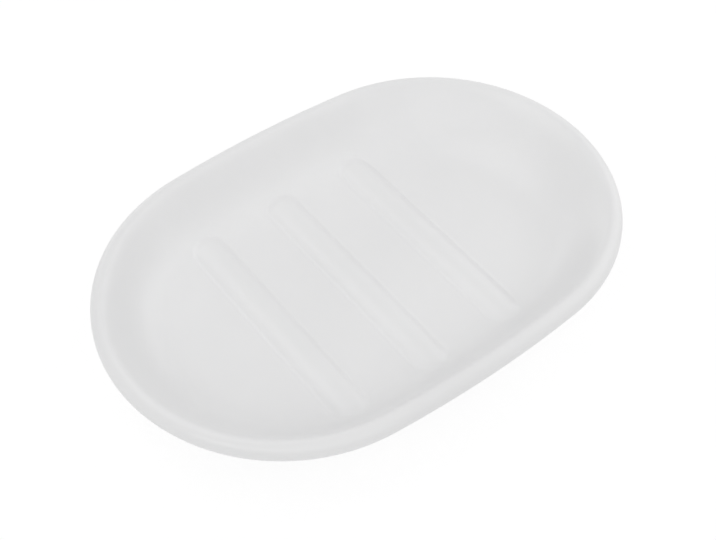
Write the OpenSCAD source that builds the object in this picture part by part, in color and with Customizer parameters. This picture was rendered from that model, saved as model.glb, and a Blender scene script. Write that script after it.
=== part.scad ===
// Oval soap dish: one moulded shell with a rolled rim, three drainage ribs and four soft foot pads.
// Millimetres. X runs along the dish, Y across it and Z up. The pads stand on Z = 0.

/* [Outline] */
// Overall length
dish_length = 140; // [120:1:160]
// Overall width
dish_width = 96; // [84:1:112]
// Overall height, from the surface it stands on to the top of the rim
dish_height = 20; // [16:0.5:26]
// How far each long side bows out past the round ends
side_bow = 1; // [0.5:0.1:5]
// Radius of the round rim
rim_radius = 2.8; // [2.2:0.1:3.4]

/* [Basin] */
// Run of the basin wall along the long sides, from the rim's crown to the floor's edge
side_wall_run = 16; // [12:0.1:20]
// Run of the basin wall at the ends, from the rim's crown to the floor's edge
end_wall_run = 21.6; // [17:0.1:28]
// How far the floor sits toward the left end, which makes that end the steeper one
floor_shift = 5; // [0:0.5:6]
// How far the floor's long sides bow out
floor_bow = 1; // [0.5:0.1:5]
// Power of the fillet between the floor and the wall: more gives a wider fillet
fillet_power = 2.8; // [2:0.1:3.4]
// Power of the roll between the wall and the rim's crown: more gives a wider roll
roll_power = 1.7; // [1.4:0.1:2.4]

/* [Shell] */
// Wall of the floor
floor_wall = 3.4; // [2.4:0.1:4]
// Depth of the recess under the floor, inside the foot ring
recess_depth = 2.2; // [1:0.1:3]
// How much of the basin wall's rise the recess's roof follows
roof_share = 0.45; // [0:0.05:0.6]
// How far the foot is drawn in under the rim
foot_inset = 10; // [7:0.5:12]
// Width of the foot ring
foot_width = 4.5; // [3:0.5:6]
// Rounding of the foot ring's outer edge
foot_radius = 2; // [1:0.1:3]

/* [Ribs] */
// Number of ribs
rib_count = 3; // [2:1:3]
// Distance between ribs
rib_pitch = 23.6; // [16:0.1:26]
// How far the ribs sit toward the left end
rib_shift = 3.5; // [0:0.5:6]
// How far a rib's flared end runs past the floor's edge, up the wall
rib_run_out = 6.6; // [3:0.1:7.5]
// Height of a rib above the floor
rib_height = 1.7; // [1.2:0.1:2.4]
// Radius of a rib's crown
rib_crown_radius = 7; // [4:0.1:8]
// Radius of the flare where a rib meets the floor
rib_flare_radius = 1.5; // [1:0.1:2.5]
// Width of the groove that cores each rib from below
groove_width = 4; // [2:0.1:5]
// Wall left between the groove and the rib's crown
rib_wall = 3; // [2.4:0.1:4]

/* [Foot pads] */
// Diameter of a foot pad
pad_diameter = 9; // [7:0.5:11]
// Thickness of a foot pad
pad_thickness = 2; // [1.6:0.1:2.6]
// Depth of a pad's seat in the dish
seat_depth = 1; // [0.6:0.1:1.4]
// Rounding of a pad's lower edge
pad_edge_radius = 0.5; // [0.2:0.1:0.8]
// Gap round a pad in its seat
pad_clearance = 0.15; // [0.1:0.05:0.3]
// Wall of the seat round a pad
pad_seat_wall = 1.6; // [1.2:0.1:2.4]
// Distance from the foot ring's inner side to a pad's centre
pad_reach = 4; // [2:0.5:8]
// Angle of each pad from the long axis, seen from the end arc's centre
pad_angle = 50; // [35:1:60]

/* [Hidden] */

// Steps along each end arc and each side arc of an outline
end_steps = 42;
side_steps = 14;
// Steps round the rim above and below its widest line, along the basin wall, round the foot's edge
// and across the underside
rim_steps = 6;
lip_steps = 3;
wall_steps = 16;
foot_steps = 4;
underside_steps = 4;
// Steps along a rib's crown and along its flare
crown_steps = 7;
flare_steps = 4;
// Facets of a full turn
turn_steps = 40;
// Halvings that find a place on a spoke
halving_steps = 16;
// How far solids that join run into each other, and cuts run past a face
overlap = 0.4;

// Heights of the main surfaces
foot_z = pad_thickness - seat_depth;
underside_z = foot_z + recess_depth;
floor_z = underside_z + floor_wall;
rim_centre_z = dish_height - rim_radius;
foot_centre_z = foot_z + foot_radius;
wall_drop = dish_height - floor_z;

// Half sizes of the floor
floor_half_length = dish_length / 2 - rim_radius - end_wall_run;
floor_half_width = dish_width / 2 - rim_radius - side_wall_run;

// The outer wall is the straight line that touches the rim's circle and the foot's
wall_lean = foot_inset + foot_radius - rim_radius;
wall_rise = rim_centre_z - foot_centre_z;
wall_angle = atan2(wall_rise, wall_lean)
    - acos((foot_radius - rim_radius) / norm([wall_lean, wall_rise]));
foot_angles = [for (i = [0:foot_steps]) -90 + (wall_angle + 90) * i / foot_steps];
rim_angles = concat(
    [for (i = [0:lip_steps - 1]) wall_angle * (1 - i / lip_steps)],
    [for (i = [0:rim_steps]) 90 * i / rim_steps]);

// The rib's flare touches its crown at this angle above the level
crown_centre_z = rib_height - rib_crown_radius;
flare_rise = rib_flare_radius - crown_centre_z;
flare_angle = asin(flare_rise / (rib_crown_radius + rib_flare_radius));
rib_half_width = (rib_crown_radius + rib_flare_radius) * cos(flare_angle);
rib_straight = 2 * (floor_half_width + rib_run_out - rib_half_width);

// The pads' centres, measured from the centres of the rim's end arcs
end_radius = dish_width / 2 - side_bow;
end_centre_x = dish_length / 2 - end_radius;
pad_distance = end_radius - foot_inset - foot_width - pad_reach;
pad_x = end_centre_x + pad_distance * cos(pad_angle);
pad_y = pad_distance * sin(pad_angle);

// Radius of the side arcs of an oval whose end arcs have their centres at this distance
function side_arc(end_x, half_width, bow) =
    (end_x * end_x + half_width * half_width - pow(half_width - bow, 2)) / (2 * bow);

// An oval of four arcs that meet smoothly, as points that all outlines share in number and order
function oval(half_length, half_width, bow, shift = 0) =
    let (
        end_r = half_width - bow,
        end_x = half_length - end_r,
        side_r = side_arc(end_x, half_width, bow),
        side_y = side_r - half_width,
        join = atan2(side_y, end_x)
    )
    [for (turn = [0, 180])
        for (p = concat(
            [for (i = [0:end_steps - 1])
                let (a = join * (2 * i / end_steps - 1))
                [end_x + end_r * cos(a), end_r * sin(a)]],
            [for (i = [0:side_steps - 1])
                let (a = join + (180 - 2 * join) * i / side_steps)
                [side_r * cos(a), side_r * sin(a) - side_y]]))
            [shift + cos(turn) * p.x, cos(turn) * p.y]];

// The rim's outline drawn in by a distance, at one height
function rim_ring(inset, z) =
    [for (p = oval(dish_length / 2 - inset, dish_width / 2 - inset, side_bow)) [p.x, p.y, z]];

// Points of the section round a circle of the rim or the foot, as rings at the given angles
function round_rings(radius, centre_inset, centre_z, angles) =
    [for (a = angles) rim_ring(centre_inset - radius * cos(a), centre_z + radius * sin(a))];

// Height above the floor of the basin wall, at a share of the way from the floor's edge to the crown
function wall_height(share) =
    wall_drop * (1 - pow(1 - pow(share, fillet_power), roll_power));

function blend(from, to, share) = from + (to - from) * share;

// The spokes of the basin run from the floor's edge to the rim's crown
floor_edge = oval(floor_half_length, floor_half_width, floor_bow, -floor_shift);
crown_edge = oval(dish_length / 2 - rim_radius, dish_width / 2 - rim_radius, side_bow);
spokes = len(floor_edge);

// How far inside the dish's outline a point of the plan lies
function inset_of(p) =
    let (
        side_r = side_arc(end_centre_x, dish_width / 2, side_bow),
        side_y = side_r - dish_width / 2,
        from_end = [abs(p.x) - end_centre_x, abs(p.y)]
    )
    from_end.x * side_y > from_end.y * end_centre_x
        ? end_radius - norm(from_end)
        : side_r - norm([p.x, abs(p.y) + side_y]);

// Where a spoke lies at a given inset, found by halving, as a share of the way to the crown
function share_at(j, inset, low = 0, high = 1, step = 0) =
    let (middle = (low + high) / 2)
    step == halving_steps ? middle
        : inset_of(blend(floor_edge[j], crown_edge[j], middle)) > inset
            ? share_at(j, inset, middle, high, step + 1)
            : share_at(j, inset, low, middle, step + 1);

// Where each spoke meets the foot ring's inner side
foot_shares = [for (j = [0:spokes - 1]) share_at(j, foot_inset + foot_width)];

// The basin wall, from just inside the crown to the floor's edge
basin_rings = [for (i = [1:wall_steps])
    let (share = 1 - i / wall_steps)
    [for (j = [0:spokes - 1])
        let (p = blend(floor_edge[j], crown_edge[j], share))
        [p.x, p.y, floor_z + wall_height(share)]]];

// The recess's roof rises a little under the basin wall, out to the foot ring, and stays below the
// tops of the pads' bosses
underside_rings = [for (i = [0:underside_steps])
    [for (j = [0:spokes - 1])
        let (
            share = foot_shares[j] * i / underside_steps,
            p = blend(floor_edge[j], crown_edge[j], share)
        )
        [p.x, p.y, underside_z + min(roof_share * wall_height(share), floor_wall - 2 * overlap)]]];

foot_inner_ring = [for (p = underside_rings[underside_steps]) [p.x, p.y, foot_z]];

// A closed skin over rings of equal length, with a flat cap on the first and the last
module loft(rings) {
    n = len(rings[0]);
    last = len(rings) - 1;
    points = [for (ring = rings) for (p = ring) p];
    sides = [for (i = [0:last - 1]) for (j = [0:n - 1])
        let (a = i * n + j, b = i * n + (j + 1) % n)
        each [[a, a + n, b + n], [a, b + n, b]]];
    caps = [[for (j = [0:n - 1]) j], [for (j = [n - 1:-1:0]) last * n + j]];
    polyhedron(points = points, faces = concat(sides, caps));
}

// Shell of one skin: underside, foot ring, outer wall, rim, basin wall and floor
module shell() {
    loft(concat(
        underside_rings,
        [foot_inner_ring],
        round_rings(foot_radius, foot_inset + foot_radius, foot_centre_z, foot_angles),
        round_rings(rim_radius, rim_radius, rim_centre_z, rim_angles),
        basin_rings));
}

// Half of a rib's section: the crown, then the flare out to the floor
rib_half_section = concat(
    [for (i = [0:crown_steps])
        let (a = 90 + (flare_angle - 90) * i / crown_steps)
        [rib_crown_radius * cos(a), crown_centre_z + rib_crown_radius * sin(a)]],
    [for (i = [1:flare_steps])
        let (a = 180 + flare_angle + (90 - flare_angle) * i / flare_steps)
        [rib_half_width + rib_flare_radius * cos(a), rib_flare_radius + rib_flare_radius * sin(a)]],
    [[rib_half_width, -overlap]]);

// One rib across the floor, with its section turned half round at each end
module rib() {
    left_half = [for (i = [len(rib_half_section) - 1:-1:1])
        [-rib_half_section[i].x, rib_half_section[i].y]];
    rotate([90, 0, 0])
        linear_extrude(rib_straight, center = true)
            polygon(concat(left_half, rib_half_section));
    for (end = [0, 180])
        rotate([0, 0, end])
            translate([0, rib_straight / 2, 0])
                rotate_extrude(angle = 180, $fn = turn_steps)
                    polygon(concat(rib_half_section, [[0, -overlap]]));
}

// Slot that cores a rib from below
module groove() {
    groove_z = floor_z + rib_height - rib_wall;
    translate([0, 0, underside_z - overlap])
        linear_extrude(groove_z - underside_z + overlap) {
            square([groove_width, rib_straight], center = true);
            for (side = [-1, 1])
                translate([0, side * rib_straight / 2])
                    circle(d = groove_width, $fn = turn_steps);
        }
}

module at_ribs() {
    for (i = [0:rib_count - 1])
        translate([(i - (rib_count - 1) / 2) * rib_pitch - rib_shift, 0, 0])
            children();
}

module at_pads() {
    for (x = [-pad_x, pad_x])
        for (y = [-pad_y, pad_y])
            translate([x, y, 0])
                children();
}

// The moulded dish
module dish() {
    seat_diameter = pad_diameter + 2 * pad_clearance;
    color("whitesmoke")
        difference() {
            union() {
                shell();
                at_ribs()
                    translate([0, 0, floor_z])
                        rib();
                at_pads()
                    translate([0, 0, foot_z])
                        cylinder(d = seat_diameter + 2 * pad_seat_wall,
                            h = floor_z - overlap - foot_z, $fn = turn_steps);
            }
            at_ribs()
                groove();
            at_pads()
                translate([0, 0, foot_z - overlap])
                    cylinder(d = seat_diameter, h = seat_depth + overlap, $fn = turn_steps);
        }
}

// One soft pad, bonded in its seat with its top face against the seat's
module foot_pad(x, y) {
    r = pad_diameter / 2;
    color("gainsboro")
        translate([x, y, 0])
            rotate_extrude($fn = turn_steps)
                polygon(concat(
                    [[0, 0]],
                    [for (i = [0:flare_steps])
                        let (a = 90 * i / flare_steps - 90)
                        [r - pad_edge_radius + pad_edge_radius * cos(a),
                            pad_edge_radius + pad_edge_radius * sin(a)]],
                    [[r, pad_thickness], [0, pad_thickness]]));
}

dish();
foot_pad(-pad_x, -pad_y);  // foot_pad_front_left
foot_pad(pad_x, -pad_y);  // foot_pad_front_right
foot_pad(-pad_x, pad_y);  // foot_pad_rear_left
foot_pad(pad_x, pad_y);  // foot_pad_rear_right
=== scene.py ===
import logging
import math
from dataclasses import dataclass, field
from enum import Enum
from functools import cached_property
from typing import Sequence

import bmesh
import bpy
from mathutils import Matrix, Vector


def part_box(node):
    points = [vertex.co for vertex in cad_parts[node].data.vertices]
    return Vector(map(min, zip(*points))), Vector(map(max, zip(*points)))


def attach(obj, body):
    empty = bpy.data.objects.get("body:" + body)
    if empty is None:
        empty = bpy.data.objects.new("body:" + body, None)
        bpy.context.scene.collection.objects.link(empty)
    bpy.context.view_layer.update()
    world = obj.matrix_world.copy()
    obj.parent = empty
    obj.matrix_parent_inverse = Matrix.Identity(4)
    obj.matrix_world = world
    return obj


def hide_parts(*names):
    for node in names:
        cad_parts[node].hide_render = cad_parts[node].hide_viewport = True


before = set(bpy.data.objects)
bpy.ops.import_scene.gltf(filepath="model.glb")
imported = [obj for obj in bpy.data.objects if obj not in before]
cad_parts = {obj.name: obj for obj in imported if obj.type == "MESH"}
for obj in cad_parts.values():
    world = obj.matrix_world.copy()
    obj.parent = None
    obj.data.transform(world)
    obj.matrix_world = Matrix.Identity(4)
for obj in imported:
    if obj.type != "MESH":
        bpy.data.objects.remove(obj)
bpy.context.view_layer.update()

MM = 0.001
BODY = "root"
SHARP_ANGLE = math.radians(35)
PHOTO_WIDTH = 716
SENSOR_WIDTH = 36.0
WHOLE_SPAN = (0.0, 1.0)

log = logging.getLogger("soap_dish")

Plan = list[tuple[float, float]]
Ring = list[tuple[float, float, float]]
Span = tuple[float, float]
Colour = tuple[float, float, float]


class Cut(Enum):
    """What a tool solid does to the piece it meets."""

    ADD = "UNION"
    TAKE_AWAY = "DIFFERENCE"


def add_object(bm: bmesh.types.BMesh, name: str) -> bpy.types.Object:
    """Turns a finished bmesh into an object at the origin.

    Args:
        bm: The mesh, in metres in the shared frame. It is freed.
        name: The new object's name.

    Returns:
        The object, linked into the scene and shaded.
    """
    mesh = bpy.data.meshes.new(name)
    bm.to_mesh(mesh)
    bm.free()
    obj = bpy.data.objects.new(name, mesh)
    bpy.context.scene.collection.objects.link(obj)
    shade(obj)
    return obj


def shade(obj: bpy.types.Object) -> None:
    """Shades an object smooth, except over edges that are sharper than SHARP_ANGLE.

    Args:
        obj: The mesh object.
    """
    mesh = obj.data
    mesh.polygons.foreach_set("use_smooth", [True] * len(mesh.polygons))
    mesh.set_sharp_from_angle(angle=SHARP_ANGLE)
    mesh.update()


def join_solids(obj: bpy.types.Object, tools: Sequence[bpy.types.Object], cut: Cut) -> None:
    """Adds tool solids to a solid, or takes them away, and deletes the tools.

    Args:
        obj: The closed mesh that is changed.
        tools: Closed meshes.
        cut: What the tools do.
    """
    for tool in tools:
        modifier = obj.modifiers.new(tool.name, "BOOLEAN")
        modifier.operation = cut.value
        modifier.solver = "MANIFOLD"
        modifier.object = tool
    graph = bpy.context.evaluated_depsgraph_get()
    result = bpy.data.meshes.new_from_object(obj.evaluated_get(graph))
    obj.modifiers.clear()
    old = obj.data
    obj.data = result
    bpy.data.meshes.remove(old)
    for tool in tools:
        mesh = tool.data
        bpy.data.objects.remove(tool)
        bpy.data.meshes.remove(mesh)


def loft(rings: Sequence[Ring]) -> bmesh.types.BMesh:
    """Skins a row of rings by extruding a circle's edges from ring to ring, and caps both ends.

    Args:
        rings: The rings in millimetres, each of as many points, in order along the skin.

    Returns:
        The closed mesh in metres, with its faces pointing outwards.
    """
    bm = bmesh.new()
    verts = bmesh.ops.create_circle(bm, cap_ends=False, radius=1.0, segments=len(rings[0]))["verts"]
    edges = list(bm.edges)
    first = list(verts)
    place(verts, rings[0])
    for ring in rings[1:]:
        made = bmesh.ops.extrude_edge_only(bm, edges=edges)["geom"]
        new = {item for item in made if isinstance(item, bmesh.types.BMVert)}
        edges = [item for item in made if isinstance(item, bmesh.types.BMEdge) and set(item.verts) <= new]
        verts = [next(edge.other_vert(vert) for edge in vert.link_edges if edge.other_vert(vert) in new)
                 for vert in verts]
        place(verts, ring)
    bm.faces.new(first)
    bm.faces.new(verts)
    bmesh.ops.recalc_face_normals(bm, faces=bm.faces)
    return bm


def place(verts: Sequence[bmesh.types.BMVert], ring: Ring) -> None:
    """Moves vertices to the points of a ring.

    Args:
        verts: The vertices, in order.
        ring: As many points, in millimetres.
    """
    for vert, point in zip(verts, ring):
        vert.co = Vector(point) * MM


def finish_piece(obj: bpy.types.Object, nodes: Sequence[str],
                 material: bpy.types.Material) -> None:
    """Dresses a new piece, seats it on the part's body and lets it stand for its CAD nodes.

    Args:
        obj: The piece.
        nodes: The CAD nodes that it replaces.
        material: The finish.
    """
    obj.data.materials.clear()
    obj.data.materials.append(material)
    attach(obj, BODY)
    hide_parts(*nodes)
    log.info("%s: %d faces, stands for %s", obj.name, len(obj.data.polygons), ", ".join(nodes))


def away_from_dish(azimuth: float, elevation: float) -> Vector:
    """Points from the dish towards a lamp or the camera.

    Args:
        azimuth: Degrees round from the front, anticlockwise from above.
        elevation: Degrees above the level.

    Returns:
        A direction of length 1.
    """
    turn, rise = math.radians(azimuth), math.radians(elevation)
    return Vector((math.sin(turn) * math.cos(rise), -math.cos(turn) * math.cos(rise), math.sin(rise)))


@dataclass(frozen=True)
class Oval:
    """An outline of four arcs that meet smoothly, in millimetres.

    All outlines have as many points, in the same order. A point lies at the same share of its arc on each.
    """

    half_length: float
    half_width: float
    bow: float
    shift: float = 0.0
    end_steps: int = 150
    side_steps: int = 50

    @property
    def end_radius(self) -> float:
        """Radius of the end arcs."""
        return self.half_width - self.bow

    @property
    def end_x(self) -> float:
        """Distance of the end arcs' centres from the middle."""
        return self.half_length - self.end_radius

    @property
    def side_radius(self) -> float:
        """Radius of the side arcs."""
        return (self.end_x ** 2 + self.half_width ** 2 - self.end_radius ** 2) / (2 * self.bow)

    @property
    def side_y(self) -> float:
        """Distance of the side arcs' centres from the middle."""
        return self.side_radius - self.half_width

    def points(self) -> Plan:
        """Places the points of the whole outline, anticlockwise from the lower end of the right-hand arc.

        Returns:
            The points in the plan.
        """
        join = math.atan2(self.side_y, self.end_x)
        half: Plan = []
        for step in range(self.end_steps):
            turn = join * (2 * step / self.end_steps - 1)
            x, y = self.end_radius * math.cos(turn), self.end_radius * math.sin(turn)
            half.append((self.end_x + x, y))
        for step in range(self.side_steps):
            turn = join + (math.pi - 2 * join) * step / self.side_steps
            x, y = self.side_radius * math.cos(turn), self.side_radius * math.sin(turn)
            half.append((x, y - self.side_y))
        return [(self.shift + sign * x, sign * y) for sign in (1, -1) for x, y in half]

    def inset_of(self, x: float, y: float) -> float:
        """Measures how far inside the outline a point lies.

        Args:
            x: The point's place along the dish.
            y: The point's place across it.

        Returns:
            The distance to the outline.
        """
        x, y = abs(x - self.shift), abs(y)
        if (x - self.end_x) * self.side_y > y * self.end_x:
            return self.end_radius - math.hypot(x - self.end_x, y)
        return self.side_radius - math.hypot(x, y + self.side_y)


@dataclass(frozen=True)
class Rib:
    """One drainage rib: a round crown that flares out to the floor, in millimetres."""

    height: float = 1.7
    crown_radius: float = 7.0
    flare_radius: float = 1.5

    @property
    def crown_z(self) -> float:
        """Height of the crown's centre above the floor."""
        return self.height - self.crown_radius

    @property
    def flare_angle(self) -> float:
        """Angle above the level at which the flare meets the crown."""
        return math.asin((self.flare_radius - self.crown_z) / (self.crown_radius + self.flare_radius))

    @property
    def half_width(self) -> float:
        """Half of the width over the flares."""
        return (self.crown_radius + self.flare_radius) * math.cos(self.flare_angle)

    def height_at(self, distance: float) -> float:
        """Gives the rib's height above the floor.

        Args:
            distance: The distance from the rib's middle line.

        Returns:
            The height, zero beside the rib.
        """
        if distance >= self.half_width:
            return 0.0
        if distance <= self.crown_radius * math.cos(self.flare_angle):
            return self.crown_z + math.sqrt(self.crown_radius ** 2 - distance ** 2)
        return self.flare_radius - math.sqrt(self.flare_radius ** 2 - (self.half_width - distance) ** 2)


@dataclass
class DishMoulding:
    """The moulded dish: shell, rolled rim, ribs, foot ring and pad seats, in millimetres.

    The basin wall runs from the floor's edge to the rim's crown. fillet_power shapes its foot, and
    roll_power the roll into the crown. A higher rib_blend makes a crisper line where a rib meets the wall.
    """

    half_length: float
    half_width: float
    height: float
    rim_bow: float = 1.0
    rim_radius: float = 2.8
    side_wall_run: float = 16.0
    end_wall_run: float = 21.6
    floor_bow: float = 1.0
    floor_shift: float = 5.0
    fillet_power: float = 2.8
    roll_power: float = 1.7
    floor_wall: float = 3.4
    recess_depth: float = 2.2
    roof_share: float = 0.45
    recess_fillet: float = 0.8
    foot_z: float = 1.0
    foot_inset: float = 10.0
    foot_width: float = 4.5
    foot_radius: float = 2.0
    foot_inner_radius: float = 0.5
    rib: Rib = field(default_factory=Rib)
    rib_count: int = 3
    rib_pitch: float = 23.6
    rib_shift: float = 3.5
    rib_run_out: float = 6.6
    rib_blend: float = 3.0
    rib_wall: float = 3.0
    groove_width: float = 4.0
    groove_round: float = 0.9
    seat_radius: float = 4.65
    seat_wall: float = 1.6
    seat_depth: float = 1.0
    seat_edge: float = 0.35
    boss_lift: float = 0.01
    overrun: float = 0.4
    rim_steps: int = 18
    wall_steps: int = 48
    floor_steps: int = 88
    centre_share: float = 0.008
    roof_steps: int = 4
    recess_fillet_steps: int = 5
    foot_inner_steps: int = 4
    foot_steps: int = 8
    outer_wall_shares: tuple[float, ...] = (0.02, 0.35, 0.65, 0.98)
    turn_steps: int = 64
    bevel_steps: int = 4
    halvings: int = 24

    @property
    def underside_z(self) -> float:
        """Height of the recess's roof."""
        return self.foot_z + self.recess_depth

    @property
    def floor_z(self) -> float:
        """Height of the basin's floor."""
        return self.underside_z + self.floor_wall

    @property
    def rim_z(self) -> float:
        """Height of the rim's centre."""
        return self.height - self.rim_radius

    @cached_property
    def outline(self) -> Oval:
        """Outline of the whole dish."""
        return Oval(self.half_length, self.half_width, self.rim_bow)

    @cached_property
    def floor_edge(self) -> Plan:
        """Edge of the flat floor."""
        half_length = self.half_length - self.rim_radius - self.end_wall_run
        return Oval(half_length, self.floor_half_width, self.floor_bow, -self.floor_shift).points()

    @property
    def floor_half_width(self) -> float:
        """Half of the flat floor's width."""
        return self.half_width - self.rim_radius - self.side_wall_run

    @cached_property
    def crown_edge(self) -> Plan:
        """The rim's highest line, where the basin wall starts."""
        return self.inset_plan(self.rim_radius)

    @property
    def rib_straight(self) -> float:
        """Length of a rib without its round ends."""
        return 2 * (self.floor_half_width + self.rib_run_out - self.rib.half_width)

    @property
    def rib_places(self) -> list[float]:
        """Places of the ribs along the dish."""
        middle = (self.rib_count - 1) / 2
        return [(i - middle) * self.rib_pitch - self.rib_shift for i in range(self.rib_count)]

    def inset_plan(self, inset: float) -> Plan:
        """Draws the dish's outline in.

        Args:
            inset: How far.

        Returns:
            The points of the smaller outline.
        """
        return Oval(self.half_length - inset, self.half_width - inset, self.rim_bow).points()

    def arc_rings(self, inset: float, z: float, radius: float, start: float, end: float,
                  steps: int) -> list[Ring]:
        """Makes the rings of a round edge that follows the dish's outline.

        Args:
            inset: How far inside the outline the round edge's centre lies.
            z: Its centre's height.
            radius: Its radius.
            start: Where it starts, in radians above the outward direction.
            end: Where it ends.
            steps: The number of steps.

        Returns:
            The rings, both ends included.
        """
        rings = []
        for step in range(steps + 1):
            turn = start + (end - start) * step / steps
            height = z + radius * math.sin(turn)
            rings.append([(x, y, height) for x, y in self.inset_plan(inset - radius * math.cos(turn))])
        return rings

    def spoke(self, index: int, share: float) -> tuple[float, float]:
        """Places a point between the floor's edge and the rim's crown.

        Args:
            index: Which spoke.
            share: The share of the way to the crown.

        Returns:
            The point in the plan.
        """
        (x0, y0), (x1, y1) = self.floor_edge[index], self.crown_edge[index]
        return x0 + (x1 - x0) * share, y0 + (y1 - y0) * share

    def share_at(self, index: int, inset: float) -> float:
        """Finds by halving where a spoke lies at a given inset.

        Args:
            index: Which spoke.
            inset: The distance inside the dish's outline.

        Returns:
            The share of the way to the crown.
        """
        low, high = 0.0, 1.0
        for _ in range(self.halvings):
            middle = (low + high) / 2
            if self.outline.inset_of(*self.spoke(index, middle)) > inset:
                low = middle
            else:
                high = middle
        return (low + high) / 2

    def wall_height(self, share: float) -> float:
        """Gives the basin wall's height above the floor.

        Args:
            share: The share of the way from the floor's edge to the crown.

        Returns:
            The height.
        """
        return (self.height - self.floor_z) * (1 - (1 - share ** self.fillet_power) ** self.roll_power)

    def roof_z(self, share: float) -> float:
        """Gives the height of the recess's roof, which rises a little under the basin wall.

        Args:
            share: The share of the way from the floor's edge to the crown.

        Returns:
            The height.
        """
        rise = self.roof_share * self.wall_height(share)
        return self.underside_z + min(rise, self.floor_wall - 2 * self.overrun)

    def underside_rings(self) -> list[Ring]:
        """Makes the recess: its roof, the fillet in its corner and the foot ring's inner side.

        Returns:
            The rings, from the middle outwards and down.
        """
        count = len(self.floor_edge)
        inset = self.foot_inset + self.foot_width
        rings: list[Ring] = []
        roof_shares = [self.share_at(i, inset + self.recess_fillet) for i in range(count)]
        for step in range(self.roof_steps):
            shares = [share * step / self.roof_steps for share in roof_shares]
            rings.append([(*self.spoke(i, share), self.roof_z(share)) for i, share in enumerate(shares)])
        for step in range(self.recess_fillet_steps + 1):
            turn = math.pi / 2 * step / self.recess_fillet_steps
            out = inset + self.recess_fillet * (1 - math.sin(turn))
            drop = self.recess_fillet * (1 - math.cos(turn))
            rings.append([(*self.spoke(i, self.share_at(i, out)), self.roof_z(roof_shares[i]) - drop)
                          for i in range(count)])
        for step in range(self.foot_inner_steps + 1):
            turn = math.pi / 2 * step / self.foot_inner_steps
            out = inset - self.foot_inner_radius * (1 - math.cos(turn))
            height = self.foot_z + self.foot_inner_radius * (1 - math.sin(turn))
            rings.append([(*self.spoke(i, self.share_at(i, out)), height) for i in range(count)])
        return rings

    def outer_rings(self) -> list[Ring]:
        """Makes the foot's rounded edge, the leaning outer wall and the outer side of the rim.

        Returns:
            The rings, from the foot up to the rim's crown.
        """
        foot_z = self.foot_z + self.foot_radius
        lean = self.foot_inset + self.foot_radius - self.rim_radius
        rise = self.rim_z - foot_z
        radius_change = self.foot_radius - self.rim_radius
        wall = math.atan2(rise, lean) - math.acos(radius_change / math.hypot(lean, rise))
        foot_inset = self.foot_inset + self.foot_radius
        foot = self.arc_rings(foot_inset, foot_z, self.foot_radius, -math.pi / 2, wall, self.foot_steps)
        rim = self.arc_rings(self.rim_radius, self.rim_z, self.rim_radius, wall, math.pi / 2, self.rim_steps)
        middle = [[tuple(Vector(a).lerp(Vector(b), share)) for a, b in zip(foot[-1], rim[0])]
                  for share in self.outer_wall_shares]
        return foot + middle + rim

    def basin_rings(self) -> list[Ring]:
        """Makes the basin wall and the floor, with the ribs raised out of them.

        Returns:
            The rings, from just inside the crown to the middle of the floor.
        """
        rings: list[Ring] = []
        for step in range(1, self.wall_steps + 1):
            share = 1 - step / self.wall_steps
            rings.append([self.raised(*self.spoke(i, share), self.wall_height(share))
                          for i in range(len(self.floor_edge))])
        for step in range(1, self.floor_steps + 1):
            share = 1 - (1 - self.centre_share) * step / self.floor_steps
            rings.append([self.raised((x + self.floor_shift) * share - self.floor_shift, y * share, 0.0)
                          for x, y in self.floor_edge])
        return rings

    def raised(self, x: float, y: float, wall: float) -> tuple[float, float, float]:
        """Raises a point of the basin where a rib passes, with a soft blend into the wall.

        Args:
            x: The point's place along the dish.
            y: Its place across it.
            wall: The basin's height above the floor there.

        Returns:
            The point on the finished surface.
        """
        past = max(abs(y) - self.rib_straight / 2, 0.0)
        rib = max(self.rib.height_at(math.hypot(x - place, past)) for place in self.rib_places)
        height = (wall ** self.rib_blend + rib ** self.rib_blend) ** (1 / self.rib_blend)
        return x, y, self.floor_z + height

    def groove(self, index: int, x: float) -> bpy.types.Object:
        """Makes the slot that cores a rib from below, with a rounded roof.

        Args:
            index: The rib's number.
            x: The rib's place.

        Returns:
            The tool solid.
        """
        bm = bmesh.new()
        radius = self.groove_width / 2
        made = bmesh.ops.create_circle(bm, cap_ends=True, radius=radius, segments=self.turn_steps)
        for vert in made["verts"]:
            vert.co.y += math.copysign(self.rib_straight / 2, vert.co.y)
        low = self.underside_z - self.overrun
        high = self.floor_z + self.rib.height - self.rib_wall
        made = bmesh.ops.extrude_face_region(bm, geom=list(bm.faces))["geom"]
        top = [item for item in made if isinstance(item, bmesh.types.BMVert)]
        bmesh.ops.translate(bm, vec=(0, 0, high - low), verts=top)
        roof = [edge for edge in bm.edges if all(vert in top for vert in edge.verts)]
        bmesh.ops.bevel(bm, geom=roof, offset=self.groove_round, offset_type="OFFSET",
                        segments=self.bevel_steps, profile=0.5, affect="EDGES", material=-1)
        bmesh.ops.translate(bm, vec=(x, 0, low), verts=bm.verts)
        bmesh.ops.scale(bm, vec=(MM, MM, MM), verts=bm.verts)
        bmesh.ops.recalc_face_normals(bm, faces=bm.faces)
        return add_object(bm, f"groove_{index}")

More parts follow.
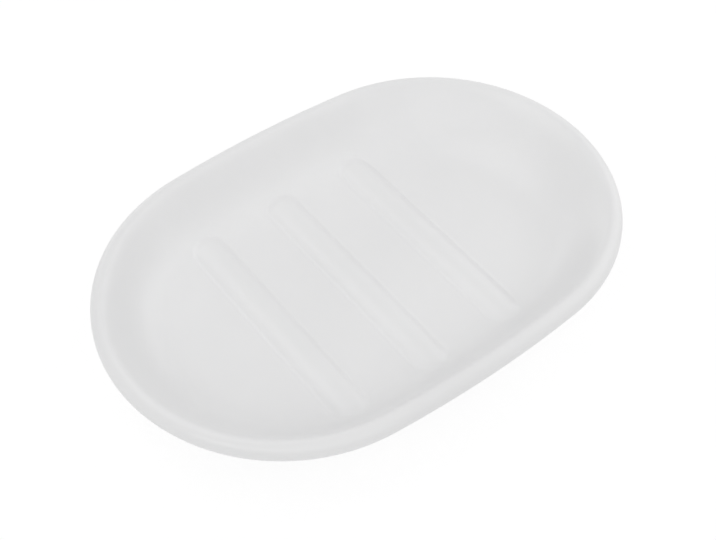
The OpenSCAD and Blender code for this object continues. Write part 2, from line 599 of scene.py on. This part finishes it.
    def post(self, name: str, x: float, y: float, radius: float, low: float, high: float,
             edge: float) -> bpy.types.Object:
        """Makes an upright round solid, with its lower edge rounded where that has a size.

        Args:
            name: The solid's name.
            x: Its place along the dish.
            y: Its place across it.
            radius: Its radius.
            low: The height of its lower face.
            high: The height of its upper face.
            edge: The rounding of its lower edge, or zero.

        Returns:
            The solid.
        """
        bm = bmesh.new()
        bmesh.ops.create_cone(bm, cap_ends=True, segments=self.turn_steps, radius1=radius, radius2=radius,
                              depth=high - low)
        if edge > 0:
            rim = [item for item in bm.edges if all(vert.co.z < 0 for vert in item.verts)]
            bmesh.ops.bevel(bm, geom=rim, offset=edge, offset_type="OFFSET", segments=self.bevel_steps,
                            profile=0.5, affect="EDGES", material=-1)
        bmesh.ops.translate(bm, vec=(x, y, (low + high) / 2), verts=bm.verts)
        bmesh.ops.scale(bm, vec=(MM, MM, MM), verts=bm.verts)
        return add_object(bm, name)

    def build(self, seats: Plan, material: bpy.types.Material) -> bpy.types.Object:
        """Builds and dresses the moulding.

        Args:
            seats: The centres of the pads' seats.
            material: The plastic.

        Returns:
            The finished piece.
        """
        shell = loft(self.underside_rings() + self.outer_rings() + self.basin_rings())
        obj = add_object(shell, "dish_moulding")
        boss_radius = self.seat_radius + self.seat_wall
        bosses = [self.post(f"boss_{i}", x, y, boss_radius, self.foot_z + self.boss_lift,
                            self.floor_z - self.overrun, self.seat_edge) for i, (x, y) in enumerate(seats)]
        join_solids(obj, bosses, Cut.ADD)
        grooves = [self.groove(i, x) for i, x in enumerate(self.rib_places)]
        pockets = [self.post(f"pocket_{i}", x, y, self.seat_radius, self.foot_z - self.overrun,
                             self.foot_z + self.seat_depth, 0.0) for i, (x, y) in enumerate(seats)]
        join_solids(obj, grooves + pockets, Cut.TAKE_AWAY)
        shade(obj)
        finish_piece(obj, ["dish"], material)
        return obj


@dataclass
class FootPad:
    """A soft disc in its seat under the dish, sized by its CAD node."""

    node: str
    lower_round: float = 0.5
    upper_round: float = 0.15
    turn_steps: int = 64
    bevel_steps: int = 5

    @cached_property
    def corners(self) -> tuple[Vector, Vector]:
        """Lowest and highest corner of the pad's space, in millimetres."""
        low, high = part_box(self.node)
        return low / MM, high / MM

    @property
    def centre(self) -> tuple[float, float]:
        """The pad's place in the plan."""
        low, high = self.corners
        return (low.x + high.x) / 2, (low.y + high.y) / 2

    def build(self, material: bpy.types.Material) -> bpy.types.Object:
        """Builds and dresses the pad.

        Args:
            material: The rubber.

        Returns:
            The finished piece.
        """
        low, high = self.corners
        radius = (high.x - low.x) / 2
        bm = bmesh.new()
        bmesh.ops.create_cone(bm, cap_ends=True, segments=self.turn_steps, radius1=radius, radius2=radius,
                              depth=high.z - low.z)
        for side, edge in ((-1, self.lower_round), (1, self.upper_round)):
            rim = [item for item in bm.edges if all(vert.co.z * side > 0 for vert in item.verts)]
            bmesh.ops.bevel(bm, geom=rim, offset=edge, offset_type="OFFSET", segments=self.bevel_steps,
                            profile=0.5, affect="EDGES", material=-1)
        bmesh.ops.translate(bm, vec=(*self.centre, (low.z + high.z) / 2), verts=bm.verts)
        bmesh.ops.scale(bm, vec=(MM, MM, MM), verts=bm.verts)
        obj = add_object(bm, self.node.replace("foot_pad", "soft_pad"))
        finish_piece(obj, [self.node], material)
        return obj


class Nodes:
    """A material's node tree, with short ways to add and join nodes."""

    def __init__(self, name: str) -> None:
        """Starts an empty material.

        Args:
            name: The material's name.
        """
        self.material = bpy.data.materials.new(name)
        self.material.use_nodes = True
        self.tree = self.material.node_tree
        self.tree.nodes.clear()

    def add(self, kind: str, **values: object) -> bpy.types.Node:
        """Adds a node.

        Args:
            kind: The node's type name.
            values: The node's attributes, and its inputs' defaults by name, with underscores for spaces.

        Returns:
            The node.
        """
        node = self.tree.nodes.new(kind)
        for key, value in values.items():
            socket = next((s for s in node.inputs if s.name.replace(" ", "_") == key), None)
            if socket is not None and not hasattr(type(node), key):
                socket.default_value = value
            else:
                setattr(node, key, value)
        return node

    def link(self, source: bpy.types.NodeSocket, target: bpy.types.NodeSocket) -> None:
        """Joins an output to an input."""
        self.tree.links.new(source, target)

    def ramp(self, source: bpy.types.NodeSocket, span: Span, dark: Colour,
             light: Colour) -> bpy.types.NodeSocket:
        """Turns a value into a tone between two colours.

        Args:
            source: The value's output.
            span: The values that give the dark and the light colour.
            dark: The colour at the low end.
            light: The colour at the high end.

        Returns:
            The tone's output.
        """
        node = self.add("ShaderNodeValToRGB")
        for element, position, colour in zip(node.color_ramp.elements, span, (dark, light)):
            element.position = position
            element.color = (*colour, 1.0)
        self.link(source, node.inputs["Fac"])
        return node.outputs["Color"]

    def fit(self, source: bpy.types.NodeSocket, span: Span, target: Span) -> bpy.types.NodeSocket:
        """Maps a value from one span to another, and holds it there.

        Args:
            source: The value's output.
            span: The span it comes in.
            target: The span it leaves in.

        Returns:
            The new value's output.
        """
        node = self.add("ShaderNodeMapRange")
        for name, value in zip(("From Min", "From Max", "To Min", "To Max"), (*span, *target)):
            node.inputs[name].default_value = value
        self.link(source, node.inputs["Value"])
        return node.outputs["Result"]

    def dress(self, shader: bpy.types.NodeSocket) -> bpy.types.Material:
        """Gives the material its surface.

        Args:
            shader: The shader's output.

        Returns:
            The finished material.
        """
        self.link(shader, self.add("ShaderNodeOutputMaterial").inputs["Surface"])
        return self.material


def seen_directly(tree: bpy.types.NodeTree) -> bpy.types.NodeSocket:
    """Adds a switch for what the camera sees, straight, in a reflection or through a clear piece.

    Args:
        tree: The node tree.

    Returns:
        An output that is 1 on such rays and 0 on the others.
    """
    ray = tree.nodes.new("ShaderNodeLightPath")
    seen = ray.outputs["Is Camera Ray"]
    for kind in ("Is Glossy Ray", "Is Transmission Ray"):
        either = tree.nodes.new("ShaderNodeMath")
        either.operation = "MAXIMUM"
        tree.links.new(seen, either.inputs[0])
        tree.links.new(ray.outputs[kind], either.inputs[1])
        seen = either.outputs["Value"]
    return seen


@dataclass(frozen=True)
class SatinPlastic:
    """Moulded plastic with a satin skin: a fine even grain, and a faint drift of tone and gloss.

    The grain's depth is in metres.
    """

    name: str = "satin_white_plastic"
    light: Colour = (0.875, 0.875, 0.878)
    dark: Colour = (0.855, 0.855, 0.859)
    drift_span: Span = (0.3, 0.7)
    roughness: Span = (0.27, 0.33)
    grain_scale: float = 2600.0
    grain_depth: float = 0.00002
    drift_scale: float = 38.0
    flow_scale: float = 16.0
    specular: float = 0.5

    def build(self) -> bpy.types.Material:
        """Makes the node material.

        Returns:
            The material.
        """
        n = Nodes(self.name)
        where = n.add("ShaderNodeTexCoord").outputs["Object"]
        drift = n.add("ShaderNodeTexNoise", Scale=self.drift_scale, Detail=3.0, Roughness=0.5)
        flow = n.add("ShaderNodeTexNoise", Scale=self.flow_scale, Detail=2.0, Roughness=0.4,
                     Distortion=0.6)
        grain = n.add("ShaderNodeTexNoise", Scale=self.grain_scale, Detail=2.0, Roughness=0.6)
        for texture in (drift, flow, grain):
            n.link(where, texture.inputs["Vector"])
        tone = n.ramp(drift.outputs["Fac"], self.drift_span, self.dark, self.light)
        gloss = n.fit(flow.outputs["Fac"], self.drift_span, self.roughness)
        bump = n.add("ShaderNodeBump", Strength=1.0, Distance=self.grain_depth)
        n.link(grain.outputs["Fac"], bump.inputs["Height"])
        skin = n.add("ShaderNodeBsdfPrincipled", Specular_IOR_Level=self.specular)
        n.link(tone, skin.inputs["Base Color"])
        n.link(gloss, skin.inputs["Roughness"])
        n.link(bump.outputs["Normal"], skin.inputs["Normal"])
        return n.dress(skin.outputs["BSDF"])


@dataclass(frozen=True)
class PadRubber:
    """Soft grey rubber, matt and lightly speckled. The speckle's depth is in metres."""

    name: str = "soft_grey_rubber"
    light: Colour = (0.62, 0.62, 0.63)
    dark: Colour = (0.52, 0.52, 0.53)
    drift_span: Span = (0.3, 0.7)
    roughness: Span = (0.62, 0.82)
    speckle_scale: float = 1400.0
    speckle_depth: float = 0.00004
    speckle_strength: float = 0.6
    drift_scale: float = 180.0
    specular: float = 0.35

    def build(self) -> bpy.types.Material:
        """Makes the node material.

        Returns:
            The material.
        """
        n = Nodes(self.name)
        where = n.add("ShaderNodeTexCoord").outputs["Object"]
        drift = n.add("ShaderNodeTexNoise", Scale=self.drift_scale, Detail=4.0, Roughness=0.6)
        speckle = n.add("ShaderNodeTexVoronoi", Scale=self.speckle_scale)
        for texture in (drift, speckle):
            n.link(where, texture.inputs["Vector"])
        tone = n.ramp(drift.outputs["Fac"], self.drift_span, self.dark, self.light)
        matt = n.fit(drift.outputs["Fac"], WHOLE_SPAN, self.roughness)
        bump = n.add("ShaderNodeBump", Strength=self.speckle_strength, Distance=self.speckle_depth)
        n.link(speckle.outputs["Distance"], bump.inputs["Height"])
        skin = n.add("ShaderNodeBsdfPrincipled", Specular_IOR_Level=self.specular)
        n.link(tone, skin.inputs["Base Color"])
        n.link(matt, skin.inputs["Roughness"])
        n.link(bump.outputs["Normal"], skin.inputs["Normal"])
        return n.dress(skin.outputs["BSDF"])


@dataclass(frozen=True)
class PaleFloor:
    """White paper under the dish. It glows a little for the camera, so that the dish's shadow stays faint.

    Its half size is in metres, and its gap below the pads in millimetres.
    """

    name: str = "white_paper"
    tones: Span = (0.96, 0.98)
    fibre_scale: float = 900.0
    lift: float = 0.8
    glow: float = 1.06
    half_size: float = 1.5
    gap: float = 0.05

    def build(self) -> bpy.types.Object:
        """Builds the floor under the part, with its material.

        Returns:
            The floor.
        """
        n = Nodes(self.name)
        where = n.add("ShaderNodeTexCoord").outputs["Object"]
        fibre = n.add("ShaderNodeTexNoise", Scale=self.fibre_scale, Detail=3.0)
        n.link(where, fibre.inputs["Vector"])
        paper = n.add("ShaderNodeBsdfDiffuse")
        n.link(n.fit(fibre.outputs["Fac"], WHOLE_SPAN, self.tones), paper.inputs["Color"])
        white = n.add("ShaderNodeEmission", Strength=self.glow)
        share = n.add("ShaderNodeMath", operation="MULTIPLY")
        n.link(seen_directly(n.tree), share.inputs[0])
        share.inputs[1].default_value = self.lift
        mix = n.add("ShaderNodeMixShader")
        n.link(share.outputs["Value"], mix.inputs["Fac"])
        n.link(paper.outputs["BSDF"], mix.inputs[1])
        n.link(white.outputs["Emission"], mix.inputs[2])
        bm = bmesh.new()
        bmesh.ops.create_grid(bm, x_segments=1, y_segments=1, size=self.half_size)
        bmesh.ops.translate(bm, vec=(0, 0, -self.gap * MM), verts=bm.verts)
        obj = add_object(bm, "floor")
        obj.data.materials.append(n.dress(mix.outputs["Shader"]))
        return obj


@dataclass(frozen=True)
class SoftLamp:
    """A square soft lamp that looks at the dish. Its size and distance are in metres."""

    name: str
    azimuth: float
    elevation: float
    watts: float
    size: float
    distance: float

    def build(self) -> bpy.types.Object:
        """Builds the lamp.

        Returns:
            The lamp's object.
        """
        data = bpy.data.lights.new(self.name, "AREA")
        data.shape = "SQUARE"
        data.size = self.size
        data.energy = self.watts
        obj = bpy.data.objects.new(self.name, data)
        bpy.context.scene.collection.objects.link(obj)
        away = away_from_dish(self.azimuth, self.elevation)
        obj.location = away * self.distance
        obj.rotation_euler = away.to_track_quat("Z", "Y").to_euler()
        return obj


@dataclass(frozen=True)
class PanelRing:
    """Soft panels at one elevation, as the sides of a light tent: azimuths in degrees, with watts."""

    name: str
    elevation: float
    panels: tuple[tuple[float, float], ...]
    size: float = 0.7
    distance: float = 1.6

    def build(self) -> None:
        """Builds the panels."""
        for azimuth, watts in self.panels:
            lamp = SoftLamp(f"{self.name}_panel", azimuth, self.elevation, watts, self.size, self.distance)
            lamp.build()


@dataclass(frozen=True)
class Studio:
    """A light tent in a white room, which the camera and the reflections see as plain white."""

    rings: tuple[PanelRing, ...] = (
        PanelRing("low", 12.0, ((90.0, 0.9), (180.0, 1.2))),
        PanelRing("middle", 36.0, ((-72.0, 2.0), (-36.0, 1.6), (0.0, 0.8))),
        PanelRing("high", 60.0, ((-97.0, 0.2), (-37.0, 0.7))),
        PanelRing("near", 35.0, ((60.0, 0.16), (100.0, 0.15)), 0.3, 0.45),
        PanelRing("near_high", 65.0, ((-140.0, 0.25), (60.0, 0.02)), 0.3, 0.45),
    )
    room_strength: float = 0.535

    def build(self) -> None:
        """Builds the panels and the world."""
        for ring in self.rings:
            ring.build()
        world = bpy.data.worlds.new("white_room")
        world.use_nodes = True
        tree = world.node_tree
        tree.nodes.clear()
        mix = tree.nodes.new("ShaderNodeMixShader")
        tree.links.new(seen_directly(tree), mix.inputs["Fac"])
        for socket, strength in zip(mix.inputs[1:], (self.room_strength, 1.0)):
            white = tree.nodes.new("ShaderNodeBackground")
            white.inputs["Color"].default_value = (1.0, 1.0, 1.0, 1.0)
            white.inputs["Strength"].default_value = strength
            tree.links.new(white.outputs["Background"], socket)
        out = tree.nodes.new("ShaderNodeOutputWorld")
        tree.links.new(mix.outputs["Shader"], out.inputs["Surface"])
        bpy.context.scene.world = world
        bpy.context.scene.view_settings.view_transform = "Standard"


@dataclass(frozen=True)
class PhotoCamera:
    """The camera at the photograph's angle. Lengths are in metres and the focal length in pixels."""

    azimuth: float = -37.3
    elevation: float = 50.2
    distance: float = 0.312
    focal_pixels: float = 1209.3
    move_right: float = -0.00158
    move_up: float = 0.00493
    clip_start: float = 0.01

    def build(self) -> bpy.types.Object:
        """Builds the camera and makes it the scene's.

        Returns:
            The camera's object.
        """
        back = away_from_dish(self.azimuth, self.elevation)
        turn = math.radians(self.azimuth)
        right = Vector((math.cos(turn), math.sin(turn), 0.0))
        up = back.cross(right)
        data = bpy.data.cameras.new("photo_camera")
        data.sensor_fit = "HORIZONTAL"
        data.sensor_width = SENSOR_WIDTH
        data.lens = self.focal_pixels / PHOTO_WIDTH * SENSOR_WIDTH
        data.clip_start = self.clip_start
        obj = bpy.data.objects.new("photo_camera", data)
        bpy.context.scene.collection.objects.link(obj)
        turned = Matrix((right, up, back)).transposed().to_4x4()
        place_at = back * self.distance + right * self.move_right + up * self.move_up
        obj.matrix_world = Matrix.Translation(place_at) @ turned
        bpy.context.scene.camera = obj
        return obj


def main() -> None:
    """Builds the scene in order: camera, pads, moulding, floor and lamps."""
    logging.basicConfig(level=logging.INFO, format="%(name)s: %(message)s")
    PhotoCamera().build()
    rubber = PadRubber().build()
    pads = [FootPad(name) for name in sorted(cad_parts) if name.startswith("foot_pad")]
    for pad in pads:
        pad.build(rubber)
    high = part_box("dish")[1]
    dish = DishMoulding(half_length=high.x / MM, half_width=high.y / MM, height=high.z / MM)
    dish.build([pad.centre for pad in pads], SatinPlastic().build())
    PaleFloor().build()
    Studio().build()


if __name__ == "__main__":
    main()
